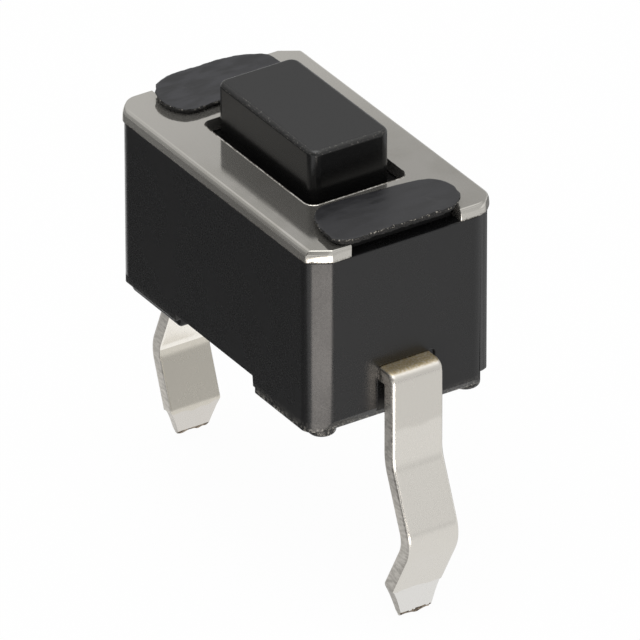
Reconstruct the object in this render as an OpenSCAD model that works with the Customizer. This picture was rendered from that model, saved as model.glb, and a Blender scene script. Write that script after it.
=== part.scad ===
// Tactile push button switch for a circuit board, with a low rectangular button and two kinked leads.
// The origin is the middle of the board plane that the four feet stand on. +X runs along the body
// to the outer terminal's lead, +Z up to the button. Millimetres.

/* [Body] */
// Length of the body along X
body_length = 6; // [5:0.1:8]
// Width of the body along Y
body_width = 3.55; // [3:0.05:5]
// Height of the cover plate's top above the board
body_height = 3.46; // [3:0.02:5]
// Size of the four cut corners
corner_cut = 0.33; // [0.15:0.01:0.5]
// Height of the skirt's lower edge above the board
skirt_height = 0.42; // [0.3:0.01:0.6]
// Small bevel round the skirt's lower edge
skirt_bevel = 0.05; // [0.02:0.01:0.1]

/* [Base blocks and feet] */
// Length of the base block under each end
base_length = 1.8; // [1.2:0.02:2]
// Set-back of a base block's one long side, the other being flush with the body
base_side_inset = 0.1; // [0.05:0.01:0.2]
// Height of the bevel below each end wall
base_bevel_height = 0.2; // [0.05:0.01:0.25]
// Depth of the bevel below each end wall
base_bevel_depth = 0.1; // [0.05:0.01:0.2]
// Set-back of the feet from the end walls
foot_end_inset = 0.12; // [0.05:0.01:0.3]
// Set-back of the feet from the long sides
foot_side_inset = 0.13; // [0.05:0.01:0.2]
// Width of one foot
foot_width = 0.48; // [0.3:0.02:0.8]
// Height of a foot below its base block
foot_height = 0.12; // [0.05:0.01:0.2]
// Radius of a foot's corners at the end wall
foot_radius = 0.2; // [0.1:0.01:0.22]
// Radius round a foot's lower edge
foot_edge_radius = 0.06; // [0.02:0.01:0.1]
// Diameter of the moulding holes under the terminals
support_hole_d = 0.6; // [0.3:0.02:0.9]
// Distance of the moulding holes from the middle
support_hole_x = 1.65; // [1.55:0.05:1.9]

/* [Cover plate] */
// Thickness of the cover plate
cover_thickness = 0.21; // [0.1:0.01:0.4]
// Radius rolled on the plate's upper edge
cover_edge_radius = 0.1; // [0.03:0.01:0.15]
// Clearance between the button and the plate's opening
button_gap = 0.19; // [0.1:0.01:0.3]
// Width of the roll along the opening's upper edge
opening_roll = 0.03; // [0.01:0.01:0.06]
// Clearance round a stake in its notch
notch_gap = 0.03; // [0.01:0.01:0.08]

/* [Stakes] */
// Width of the post below a stake's head
post_width = 2; // [1.2:0.05:2.4]
// Length of the post along X
post_length = 0.62; // [0.4:0.02:0.7]
// Set-back of the post from the end wall
post_inset = 0.15; // [0.05:0.01:0.3]
// Overall width of a stake's head along Y
head_width = 2.64; // [2:0.02:3]
// Overall length of a stake's head along X
head_length = 1.04; // [0.8:0.02:1.2]
// Height of a stake's head above the plate
head_height = 0.17; // [0.1:0.01:0.3]
// Radius round the top of the head's rim
head_rim = 0.12; // [0.05:0.01:0.12]
// Radius under the head's rim
head_under_rim = 0.05; // [0.02:0.01:0.05]
// Set-back of a stake's head from the end wall
head_inset = 0.03; // [0:0.01:0.2]

/* [Button] */
// Length of the button along X
button_length = 2.86; // [2:0.02:3.2]
// Width of the button along Y
button_width = 1.5; // [1:0.02:1.8]
// Height of the button above the cover plate
button_projection = 0.82; // [0.5:0.02:6]
// Radius of the button's upright corners
button_corner_radius = 0.18; // [0.05:0.01:0.4]
// Radius round the button's top
button_top_radius = 0.08; // [0.02:0.01:0.2]
// Travel of the button
travel = 0.25; // [0.15:0.01:0.35]
// Ledge of the button's flange under the plate
flange_ledge = 0.24; // [0.15:0.01:0.3]
// Thickness of the flange
flange_thickness = 0.5; // [0.3:0.02:0.8]
// Diameter of the stem below the flange
stem_d = 1.3; // [0.8:0.05:1.6]
// Diameter of the nose that presses the dome
nose_d = 0.8; // [0.5:0.05:1]
// Height of the nose's cone
nose_height = 0.25; // [0.1:0.01:0.4]
// Running clearance round the button's flange
flange_gap = 0.08; // [0.04:0.01:0.15]
// Clearance above the flange and below the nose at rest
rest_gap = 0.02; // [0.01:0.01:0.03]

/* [Snap dome] */
// Diameter of the disc that the dome is cut from
dome_d = 3; // [2.4:0.05:3.4]
// Width between the dome's two straight sides
dome_width = 2.1; // [1.6:0.05:2.4]
// Thickness of the dome
dome_thickness = 0.07; // [0.04:0.01:0.12]
// Width of the flat land under the dome's rim
dome_land = 0.08; // [0.04:0.01:0.12]

/* [Terminals] */
// Distance between the two leads
lead_pitch = 6.5; // [6.3:0.05:7]
// Width of a lead
lead_width = 0.97; // [0.6:0.01:1.1]
// Thickness of the terminals' strip
strip_thickness = 0.27; // [0.15:0.01:0.35]
// Height of the strip's top above the board
strip_height = 1.06; // [0.9:0.01:1.3]
// Inside radius of the bend beside the body
bend_radius = 0.15; // [0.1:0.01:0.2]
// Depth below the board of the lead's end
lead_depth = 3.5; // [2.8:0.01:4]
// Length of the straight tip at the lead's end
tip_length = 0.55; // [0.3:0.01:0.7]
// Height of the kink's knee above the tip
kink_lower = 1.02; // [0.8:0.02:1.2]
// Height of the kink's start above the knee
kink_upper = 1.31; // [0.8:0.01:1.4]
// How far the knee stands outside the lead's own line
kink_out = 0.54; // [0.2:0.02:0.7]
// Radius of the kink's three bends along the middle of the strip
kink_radius = 0.5; // [0.2:0.01:0.6]
// Width of a lead's end
tip_width = 0.52; // [0.3:0.02:0.8]
// Thickness of a lead's end
tip_thickness = 0.14; // [0.1:0.01:0.2]
// Clearance between a lead and its slot in the end wall
slot_gap = 0.1; // [0.05:0.01:0.15]
// Depth of the slot in the end wall
slot_depth = 0.35; // [0.2:0.01:0.5]
// Width of the outer terminal's two arms
arm_width = 0.43; // [0.3:0.01:0.5]
// Gap between the centre terminal and each arm
arm_gap = 0.25; // [0.15:0.01:0.3]
// Reach of the arms past the dome's rim
arm_reach = 0.15; // [0.05:0.01:0.25]
// Diameter of the centre contact's raised spot
contact_d = 0.7; // [0.4:0.05:0.9]
// Slope width round the raised spot
contact_slope = 0.1; // [0.05:0.01:0.15]
// Height of the centre contact's raised spot
contact_height = 0.05; // [0.02:0.01:0.08]

/* [Hidden] */
$fn = 48;
edge_steps = 4;
dome_steps = 14;
slice = 0.001;
cover_bottom = body_height - cover_thickness;
half_length = body_length / 2;
half_width = body_width / 2;
base_inner = half_length - base_length;
foot_length = base_length - foot_end_inset;
foot_middle = half_width - foot_side_inset - foot_width / 2;
post_inner = half_length - post_inset - post_length;
head_centre = half_length - head_inset - head_length / 2;
head_radius = head_length / 2;
opening_length = button_length + 2 * button_gap;
opening_width = button_width + 2 * button_gap;
opening_radius = button_corner_radius;
flange_length = opening_length + 2 * flange_ledge;
flange_width = opening_width + 2 * flange_ledge;
flange_top = cover_bottom - rest_gap;
cavity_length = flange_length + 2 * flange_gap;
cavity_width = flange_width + 2 * flange_gap;
cavity_radius = opening_radius + flange_gap;
dome_inner_height = travel + contact_height;
dome_top = strip_height + dome_inner_height + dome_thickness;
dome_inner_radius = (pow(dome_d / 2 - dome_land, 2) + pow(dome_inner_height, 2)) / (2 * dome_inner_height);
nose_bottom = dome_top + rest_gap;
strip_bottom = strip_height - strip_thickness;
strip_middle = strip_height - strip_thickness / 2;
lead_x = lead_pitch / 2;
tip_start = lead_depth - tip_length;
knee_depth = tip_start - kink_lower;
kink_start = knee_depth - kink_upper;
root_x = half_length - slot_depth;
arm_inner = lead_width / 2 + arm_gap;
frame_outer = dome_d / 2 + arm_reach;
slot_width = lead_width + 2 * slot_gap;
slot_top = strip_height + slot_gap / 2;

plastic = [0.05, 0.05, 0.052];
button_plastic = [0.08, 0.08, 0.082];
steel = [0.72, 0.71, 0.69];
spring_steel = [0.66, 0.66, 0.66];
plating = [0.84, 0.83, 0.81];

function unit(v) = v / norm(v);
function angle_of(v) = atan2(v.y, v.x);
function turn(from, to) = (to - from + 540) % 360 - 180;

// The points of the arc that rounds the corner b of a path from a to c
function corner_arc(a, b, c, radius, steps = 8) =
    let (u = unit(a - b), w = unit(c - b), half = acos(u * w) / 2)
    let (centre = b + unit(u + w) * radius / sin(half))
    let (first = angle_of(b + u * radius / tan(half) - centre))
    let (last = angle_of(b + w * radius / tan(half) - centre))
    [for (i = [0 : steps])
        let (angle = first + turn(first, last) * i / steps)
        centre + radius * [cos(angle), sin(angle)]];

// A strip's half thickness at one point of its middle line, thinner towards the lead's end
function half_thickness(p) =
    let (share = max(0, -p.y - tip_start) / (lead_depth - tip_start))
    (strip_thickness + (tip_thickness - strip_thickness) * share) / 2;

function normal_at(path, i) =
    let (run = unit(path[min(i + 1, len(path) - 1)] - path[max(i - 1, 0)]))
    [-run.y, run.x];

function beside(path, side) =
    [for (i = [0 : len(path) - 1]) path[i] + side * half_thickness(path[i]) * normal_at(path, i)];

function reversed(list) = [for (i = [len(list) - 1 : -1 : 0]) list[i]];

module cut_rectangle(length, width, cut) {
    x = length / 2;
    y = width / 2;
    polygon([[x, y - cut], [x - cut, y], [cut - x, y], [-x, y - cut],
             [-x, cut - y], [cut - x, -y], [x - cut, -y], [x, cut - y]]);
}

module rounded_rectangle(length, width, radius) {
    offset(r = radius) square([length - 2 * radius, width - 2 * radius], center = true);
}

// A prism over a flat outline with a quarter-round edge of the given radius at its top
module rolled_prism(height, radius) {
    hull() {
        linear_extrude(height - radius) children();
        for (i = [1 : edge_steps])
            let (angle = 90 * i / edge_steps)
            translate([0, 0, height - radius * (1 - sin(angle)) - slice])
                linear_extrude(slice) offset(delta = -radius * (1 - cos(angle))) children();
    }
}

module both_ends() {
    children();
    rotate(180) children();
}

module body_outline() {
    cut_rectangle(body_length, body_width, corner_cut);
}

module skirt() {
    translate([0, 0, cover_bottom]) mirror([0, 0, 1])
        hull() {
            linear_extrude(cover_bottom - skirt_height - skirt_bevel) body_outline();
            linear_extrude(cover_bottom - skirt_height) offset(delta = -skirt_bevel) body_outline();
        }
}

// A low bar beside the lead, rounded towards the end wall, that stands on the board
module foot() {
    translate([base_inner + foot_length / 2, foot_middle, foot_height + slice]) mirror([0, 0, 1])
        rolled_prism(foot_height + slice, foot_edge_radius) {
            rounded_rectangle(foot_length, foot_width, foot_radius);
            translate([-foot_length / 2, -foot_width / 2])
                square([foot_length / 2, foot_width]);
        }
}

// The raised end of the body's underside, flush with the body along -Y and set back along +Y
module base_block() {
    top = skirt_height + skirt_bevel;
    intersection() {
        translate([0, half_width - base_side_inset, 0]) rotate([90, 0, 0])
            linear_extrude(body_width - base_side_inset) polygon([
                [base_inner, foot_height], [half_length - base_bevel_depth, foot_height],
                [half_length, foot_height + base_bevel_height], [half_length, top], [base_inner, top]]);
        linear_extrude(top) body_outline();
    }
    foot();
    mirror([0, 1, 0]) foot();
}

// Half of the section across a stake's head, from its middle out to the rounded rim
module head_section() {
    polygon(concat(
        [[0, 0]],
        [for (i = [0 : edge_steps])
            let (angle = 90 * i / edge_steps)
            [head_radius - head_under_rim * (1 - sin(angle)), head_under_rim * (1 - cos(angle))]],
        [for (i = [0 : edge_steps])
            let (angle = 90 * i / edge_steps)
            [head_radius - head_rim * (1 - cos(angle)), head_height - head_rim * (1 - sin(angle))]],
        [[0, head_height]]));
}

module stake() {
    straight = head_width - head_length;
    translate([post_inner, -post_width / 2, cover_bottom - slice])
        cube([post_length, post_width, cover_thickness + head_height / 2]);
    translate([head_centre, 0, body_height]) {
        rotate([90, 0, 0]) linear_extrude(straight, center = true) {
            head_section();
            mirror([1, 0]) head_section();
        }
        for (side = [-1, 1])
            translate([0, side * straight / 2, 0]) rotate_extrude() head_section();
    }
}

module cavity() {
    translate([0, 0, strip_height])
        linear_extrude(body_height) rounded_rectangle(cavity_length, cavity_width, cavity_radius);
}

module lead_slot() {
    translate([root_x, -slot_width / 2, -slice])
        cube([body_length, slot_width, slot_top + slice]);
}

module support_hole() {
    translate([support_hole_x, 0, -slice]) cylinder(d = support_hole_d, h = strip_bottom + 2 * slice);
}

module housing() {
    color(plastic) difference() {
        union() {
            skirt();
            both_ends() base_block();
            both_ends() stake();
        }
        cavity();
        both_ends() lead_slot();
        both_ends() support_hole();
        outer_terminal_strip();
        centre_terminal_strip();
    }
}

module notch() {
    translate([post_inner - notch_gap, -post_width / 2 - notch_gap])
        square([body_length, post_width + 2 * notch_gap]);
}

module opening(grow) {
    rounded_rectangle(opening_length + 2 * grow, opening_width + 2 * grow, opening_radius + grow);
}

module cover_plate() {
    color(steel) translate([0, 0, cover_bottom]) difference() {
        rolled_prism(cover_thickness, cover_edge_radius) body_outline();
        translate([0, 0, -1]) linear_extrude(body_height) {
            opening(0);
            both_ends() notch();
        }
        hull() {
            translate([0, 0, cover_thickness]) linear_extrude(slice) opening(opening_roll);
            translate([0, 0, cover_thickness - opening_roll]) linear_extrude(slice) opening(0);
        }
    }
}

module button() {
    stem_bottom = nose_bottom + nose_height;
    flange_bottom = flange_top - flange_thickness;
    color(button_plastic) {
        translate([0, 0, flange_top - slice])
            rolled_prism(body_height + button_projection - flange_top + slice, button_top_radius)
                rounded_rectangle(button_length, button_width, button_corner_radius);
        translate([0, 0, flange_bottom]) linear_extrude(flange_thickness)
            rounded_rectangle(flange_length, flange_width, opening_radius);
        translate([0, 0, stem_bottom]) cylinder(d = stem_d, h = flange_bottom - stem_bottom + slice);
        translate([0, 0, nose_bottom]) cylinder(d1 = nose_d, d2 = stem_d, h = nose_height);
    }
}

// Points on a circle from the dome's crown down past its rim
function dome_arc(radius) =
    let (reach = asin(dome_d / (2 * dome_inner_radius)) + 2)
    [for (i = [0 : dome_steps]) radius * [sin(reach * i / dome_steps), cos(reach * i / dome_steps)]];

module snap_dome() {
    centre = strip_height + dome_inner_height - dome_inner_radius;
    color(spring_steel) intersection() {
        translate([0, 0, centre]) rotate_extrude()
            polygon(concat(dome_arc(dome_inner_radius), reversed(dome_arc(dome_inner_radius + dome_thickness))));
        translate([0, 0, strip_height]) linear_extrude(body_height) intersection() {
            circle(d = dome_d);
            square([dome_d, dome_width], center = true);
        }
    }
}

module strip() {
    translate([0, 0, strip_bottom]) linear_extrude(strip_thickness) children();
}

module lead_strip(inner) {
    translate([inner, -lead_width / 2]) square([root_x - inner, lead_width]);
}

// The bent lead at the +X end, from inside the end wall's slot down to its narrow end
module lead() {
    knee = [lead_x + kink_out, -knee_depth];
    path = concat(
        [[root_x - strip_thickness, strip_middle]],
        corner_arc([0, strip_middle], [lead_x, strip_middle], [lead_x, 0],
                   bend_radius + strip_thickness / 2),
        corner_arc([lead_x, 0], [lead_x, -kink_start], knee, kink_radius, 4),
        corner_arc([lead_x, -kink_start], knee, [lead_x, -tip_start], kink_radius, 6),
        corner_arc(knee, [lead_x, -tip_start], [lead_x, -lead_depth], kink_radius, 3),
        [[lead_x, -lead_depth]]);
    intersection() {
        rotate([90, 0, 0]) linear_extrude(lead_width, center = true)
            polygon(concat(beside(path, 1), reversed(beside(path, -1))));
        rotate([90, 0, 90]) linear_extrude(body_length) polygon([
            [lead_width / 2, strip_height + 1], [lead_width / 2, -tip_start],
            [tip_width / 2, -lead_depth], [-tip_width / 2, -lead_depth],
            [-lead_width / 2, -tip_start], [-lead_width / 2, strip_height + 1]]);
    }
}

module outer_terminal_strip() {
    strip() {
        lead_strip(frame_outer - arm_width);
        difference() {
            square([2 * frame_outer, 2 * (arm_inner + arm_width)], center = true);
            translate([-2 * frame_outer, -arm_inner])
                square([3 * frame_outer - arm_width, 2 * arm_inner]);
        }
    }
}

module outer_terminal() {
    color(plating) {
        outer_terminal_strip();
        lead();
    }
}

module centre_terminal_strip() {
    rotate(180) strip() lead_strip(-contact_d / 2);
}

module centre_terminal() {
    color(plating) {
        centre_terminal_strip();
        rotate(180) lead();
        translate([0, 0, strip_height - slice])
            cylinder(d1 = contact_d, d2 = contact_d - 2 * contact_slope, h = contact_height + slice);
    }
}

housing();
cover_plate();
button();
snap_dome();
outer_terminal();
centre_terminal();
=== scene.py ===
import math

import bmesh
import bpy
import numpy as np
from mathutils import Matrix, Vector


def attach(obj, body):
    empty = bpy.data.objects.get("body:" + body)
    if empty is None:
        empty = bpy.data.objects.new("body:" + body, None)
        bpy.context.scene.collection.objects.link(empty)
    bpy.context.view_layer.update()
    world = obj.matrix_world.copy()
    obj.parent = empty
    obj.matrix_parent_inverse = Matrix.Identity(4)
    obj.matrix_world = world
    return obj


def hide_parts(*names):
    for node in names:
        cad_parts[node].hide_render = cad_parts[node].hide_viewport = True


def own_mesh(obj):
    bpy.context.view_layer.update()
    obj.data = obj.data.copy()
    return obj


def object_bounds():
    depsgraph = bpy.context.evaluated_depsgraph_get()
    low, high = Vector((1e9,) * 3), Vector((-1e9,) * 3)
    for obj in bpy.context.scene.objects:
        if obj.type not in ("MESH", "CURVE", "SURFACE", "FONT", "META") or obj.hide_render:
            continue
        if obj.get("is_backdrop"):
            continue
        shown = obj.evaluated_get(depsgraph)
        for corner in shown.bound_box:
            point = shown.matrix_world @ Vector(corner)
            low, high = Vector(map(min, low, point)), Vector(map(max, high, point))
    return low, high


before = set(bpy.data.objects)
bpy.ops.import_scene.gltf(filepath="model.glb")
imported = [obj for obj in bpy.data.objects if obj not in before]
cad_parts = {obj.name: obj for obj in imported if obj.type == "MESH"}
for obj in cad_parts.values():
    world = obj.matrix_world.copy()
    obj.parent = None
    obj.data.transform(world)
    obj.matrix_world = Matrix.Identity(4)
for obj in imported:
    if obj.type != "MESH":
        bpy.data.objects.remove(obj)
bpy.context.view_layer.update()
print("frame loaded:", ", ".join(sorted(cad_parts)))

# All pieces are worked out in millimetres and made metres at the end.
millimetre = 0.001
bodyLength, bodyWidth = 6.0, 3.55
scene = bpy.context.scene
scene.view_settings.view_transform = "Standard"


def outlineRings(corners, insets, radii, steps=6):
    # Every edge of a convex outline moves in by its own inset, the moved edges meet in new
    # corners, and an arc of the corner's radius touches both edges there.
    corners = np.asarray(corners, float)
    run = np.roll(corners, -1, 0) - corners
    normals = np.stack([run[:, 1], -run[:, 0]], 1) / np.linalg.norm(run, axis=1)[:, None]
    insets = np.asarray(insets, float)
    insets = insets[:, None] * np.ones(len(corners)) if insets.ndim == 1 else insets
    reach = (normals * corners).sum(1) - insets
    lastNormals, lastReach = np.roll(normals, 1, 0), np.roll(reach, 1, 1)
    cross = lastNormals[:, 0] * normals[:, 1] - lastNormals[:, 1] * normals[:, 0]
    moved = np.stack(
        [
            (lastReach * normals[:, 1] - reach * lastNormals[:, 1]) / cross,
            (reach * lastNormals[:, 0] - lastReach * normals[:, 0]) / cross,
        ],
        2,
    )
    turn = np.arccos(np.clip((lastNormals * normals).sum(1), -1, 1))
    shrink = np.minimum(insets, np.roll(insets, 1, 1))
    radius = np.maximum(np.asarray(radii, float) - shrink, 0.004)
    middle = lastNormals + normals
    middle /= np.linalg.norm(middle, axis=1)[:, None]
    centres = moved - middle * (radius / np.cos(turn / 2))[:, :, None]
    start = np.arctan2(lastNormals[:, 1], lastNormals[:, 0])
    angles = start[:, None] + turn[:, None] * np.linspace(0, 1, steps + 1)
    arcs = np.stack([np.cos(angles), np.sin(angles)], 2)
    rings = centres[:, :, None, :] + radius[:, :, None, None] * arcs
    return rings.reshape(len(insets), -1, 2)


def resampled(rings, count):
    # Each closed ring gets the same number of points, evenly spaced along its length.
    closed = np.concatenate([rings, rings[:, :1]], 1)
    length = np.concatenate(
        [np.zeros((len(rings), 1)), np.cumsum(np.linalg.norm(np.diff(closed, axis=1), axis=2), 1)], 1
    )
    share = np.linspace(0, 1, count, endpoint=False)
    return np.stack(
        [
            np.stack([np.interp(share * l[-1], l, c[:, k]) for k in (0, 1)], 1)
            for l, c in zip(length, closed)
        ]
    )


def rolledWall(low, high, lowRoll=0.0, highRoll=0.0, steps=5):
    # Insets and heights of a wall whose ends are quarter circles: r(1 - cos a) in, r sin a along.
    angle = np.linspace(0, math.pi / 2, steps + 1)
    inset, height = np.array([]), np.array([])
    if lowRoll:
        inset = np.append(inset, lowRoll * (1 - np.sin(angle)))
        height = np.append(height, low + lowRoll * (1 - np.cos(angle)))
    else:
        inset, height = np.append(inset, 0), np.append(height, low)
    if highRoll:
        inset = np.append(inset, highRoll * (1 - np.cos(angle)))
        height = np.append(height, high - highRoll * (1 - np.sin(angle)))
    else:
        inset, height = np.append(inset, 0), np.append(height, high)
    return inset, height


def stacked(rings, heights):
    # Flat rings lifted to their heights.
    lift = np.broadcast_to(np.asarray(heights, float)[:, None, None], rings.shape[:2] + (1,))
    return np.concatenate([rings, lift], 2)


def shell(name, rings):
    # Quads join each ring to the next, and the first and last rings are closed with one face each.
    levels, count = rings.shape[:2]
    here = np.arange(count)
    after = np.roll(here, -1)
    level = np.arange(levels - 1)[:, None] * count
    quads = np.stack([level + here, level + after, level + count + after, level + count + here], 2)
    faces = quads.reshape(-1, 4).tolist()
    faces.append(here[::-1].tolist())
    faces.append((here + (levels - 1) * count).tolist())
    mesh = bpy.data.meshes.new(name)
    mesh.from_pydata(rings.reshape(-1, 3).tolist(), [], faces)
    piece = bpy.data.objects.new(name, mesh)
    scene.collection.objects.link(piece)
    return piece


def tool(points, low, high, axis="z"):
    # A flat outline pushed along one axis, for cutting or adding.
    flat = np.asarray(points, float)
    rings = stacked(np.stack([flat, flat]), [low, high])
    rings = rings[:, :, {"x": [2, 0, 1], "y": [0, 2, 1], "z": [0, 1, 2]}[axis]]
    piece = shell("tool", rings)
    faceOut(piece.data)
    return piece


def faceOut(mesh):
    # A closed mesh has every face turned outwards.
    work = bmesh.new()
    work.from_mesh(mesh)
    bmesh.ops.recalc_face_normals(work, faces=work.faces)
    work.to_mesh(mesh)
    work.free()


def box(x, y, z):
    # A block between two values along each axis.
    return tool([(x[0], y[0]), (x[1], y[0]), (x[1], y[1]), (x[0], y[1])], *z)


def combine(target, other, operation):
    # The second mesh is joined to the first or cut out of it, and thrown away.
    modifier = target.modifiers.new("combine", "BOOLEAN")
    modifier.object, modifier.operation, modifier.solver = other, operation, "MANIFOLD"
    bpy.context.view_layer.update()
    depsgraph = bpy.context.evaluated_depsgraph_get()
    mesh = bpy.data.meshes.new_from_object(target.evaluated_get(depsgraph))
    target.modifiers.clear()
    spent = [target.data, other.data]
    target.data = mesh
    bpy.data.objects.remove(other)
    for old in spent:
        bpy.data.meshes.remove(old)


def bevelSharp(piece, width, segments, plain, degrees=30):
    # Outer edges only, and none at the plain height, where the narrow rims would overlap.
    work = bmesh.new()
    work.from_mesh(piece.data)
    bmesh.ops.remove_doubles(work, verts=work.verts, dist=1e-5)
    sharp = [
        e for e in work.edges
        if e.is_convex and e.calc_face_angle() > math.radians(degrees)
        and not all(abs(v.co.z - plain) < 1e-4 for v in e.verts)
    ]
    bmesh.ops.bevel(
        work, geom=sharp, offset=width, offset_type="OFFSET", segments=segments,
        profile=0.5, affect="EDGES", clamp_overlap=False,
    )
    work.to_mesh(piece.data)
    work.free()


def paintFaces(piece, choose):
    # The rule gets the faces' middles in millimetres and their normals, and gives material numbers.
    faces = piece.data.polygons
    middle, normal = np.empty(len(faces) * 3), np.empty(len(faces) * 3)
    faces.foreach_get("center", middle)
    faces.foreach_get("normal", normal)
    number = choose(middle.reshape(-1, 3) / millimetre, normal.reshape(-1, 3))
    faces.foreach_set("material_index", number.astype(np.int32))


def crumble(levels, count, grain, seed):
    # White noise in rows and columns, each frequency weighed by exp(-(2 pi f grain)^2 / 2).
    draw = np.random.default_rng(seed).standard_normal((levels, count))
    tall, wide = np.fft.fftfreq(levels)[:, None] * grain[0], np.fft.fftfreq(count)[None] * grain[1]
    soft = np.exp(-2 * math.pi**2 * (tall**2 + wide**2))
    noise = np.real(np.fft.ifft2(np.fft.fft2(draw) * soft))
    return noise / noise.std()


def closedCurve(points, count, steps=16):
    # A periodic Catmull-Rom cubic through the points, then points at even distances along it.
    a, b, c, d = (np.roll(np.asarray(points, float), k, 0)[:, None] for k in (1, 0, -1, -2))
    t = np.linspace(0, 1, steps, endpoint=False)[None, :, None]
    curve = b + 0.5 * t * (c - a + t * (2 * a - 5 * b + 4 * c - d + t * (3 * (b - c) + d - a)))
    return resampled(curve.reshape(1, -1, 2), count)[0]


def finishPiece(piece, name, materials, body, nodes, sharpDegrees=40):
    # Millimetres become metres, flat faces stay flat beside rounded edges, and the piece gets its body.
    piece.name = piece.data.name = name
    piece.data.transform(Matrix.Scale(millimetre, 4))
    piece.data.materials.clear()
    for material in materials:
        piece.data.materials.append(material)
    piece.data.polygons.foreach_set("use_smooth", np.ones(len(piece.data.polygons), bool))
    piece.data.set_sharp_from_angle(angle=math.radians(sharpDegrees))
    weighted = piece.modifiers.new("flat faces", "WEIGHTED_NORMAL")
    weighted.keep_sharp = True
    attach(piece, body)
    if nodes:
        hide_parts(*nodes)
    print(name, "made:", len(piece.data.polygons), "faces")
    return piece


def hexColour(code):
    # sRGB to linear: c/12.92 below 0.04045, else ((c + 0.055)/1.055) to the power 2.4.
    channel = np.array([int(code[i : i + 2], 16) for i in (1, 3, 5)]) / 255
    linear = np.where(channel <= 0.04045, channel / 12.92, ((channel + 0.055) / 1.055) ** 2.4)
    return (*linear.tolist(), 1.0)


# What these two kinds of node are told wherever nothing else is said.
usualSettings = {"Mix": {"data_type": "RGBA"}, "MapRange": {"interpolation_type": "SMOOTHSTEP"}}


def addNode(tree, kind, inputs=(), output=None, **settings):
    # Inputs go by name, or in order to the sockets in use: numbers, hex colours or outputs of nodes.
    # The named output comes back, or else the first one in use.
    node = tree.nodes.new("ShaderNode" + kind)
    for name, value in {**usualSettings.get(kind, {}), **settings}.items():
        setattr(node, name, value)
    if isinstance(inputs, dict):
        filled = [(node.inputs[name], value) for name, value in inputs.items()]
    else:
        filled = zip([socket for socket in node.inputs if socket.enabled], inputs)
    for socket, value in filled:
        if isinstance(value, bpy.types.NodeSocket):
            tree.links.new(value, socket)
        else:
            socket.default_value = hexColour(value) if isinstance(value, str) else value
    if output:
        return node.outputs[output]
    return next((socket for socket in node.outputs if socket.enabled), None)


def newMaterial(name, sockets):
    # Gives the material, its nodes, its surface node and the place on the object.
    material = bpy.data.materials.new(name)
    material.use_nodes = True
    tree = material.node_tree
    surface = tree.nodes["Principled BSDF"]
    for socket, value in sockets.items():
        surface.inputs[socket].default_value = value
    place = addNode(tree, "TexCoord", output="Object")
    return material, tree, surface, place


def speckle(tree, place, size, detail=3.0, stretch=(1, 1, 1), roughness=0.5):
    # Noise whose grains are size millimetres across, longer along an axis with a smaller stretch.
    scale = [s / millimetre / size for s in stretch]
    placed = addNode(tree, "Mapping", {"Vector": place, "Scale": scale})
    inputs = {"Vector": placed, "Scale": 1.0, "Detail": detail, "Roughness": roughness}
    return addNode(tree, "TexNoise", inputs)


def dress(tree, surface, colour, rough, layers):
    # Each layer of relief is a height pattern and its depth in millimetres.
    tree.links.new(colour, surface.inputs["Base Color"])
    tree.links.new(rough, surface.inputs["Roughness"])
    normal = None
    for height, depth in layers:
        inputs = {"Height": height, "Distance": depth * millimetre, "Strength": 1.0}
        if normal:
            inputs["Normal"] = normal
        normal = addNode(tree, "Bump", inputs)
    tree.links.new(normal, surface.inputs["Normal"])


def above(tree, place, low, high):
    # 0 below the first height, 1 above the second, in millimetres.
    height = addNode(tree, "SeparateXYZ", (place,), output="Z")
    return addNode(tree, "MapRange", (height, low * millimetre, high * millimetre))


# Moulded nylon 66, black: near black itself, so the eye sees the room in its satin skin.
nylon = {
    # The two greys after the worn tone are painted glints for the lowest outer edges and feet.
    "black": "#131314", "worn": "#1b1b1b", "paintedGlint": "#333230", "paleGlint": "#85827b",
    "satin": (0.25, 0.33), "grain": 0.035,
    # Heights in millimetres, and shares of the way out from the middle.
    "paintedGlintBelow": (0.26, 0.33), "paleGlintBelow": (0.13, 0.25), "outerEdge": (0.84, 0.93),
}


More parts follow.
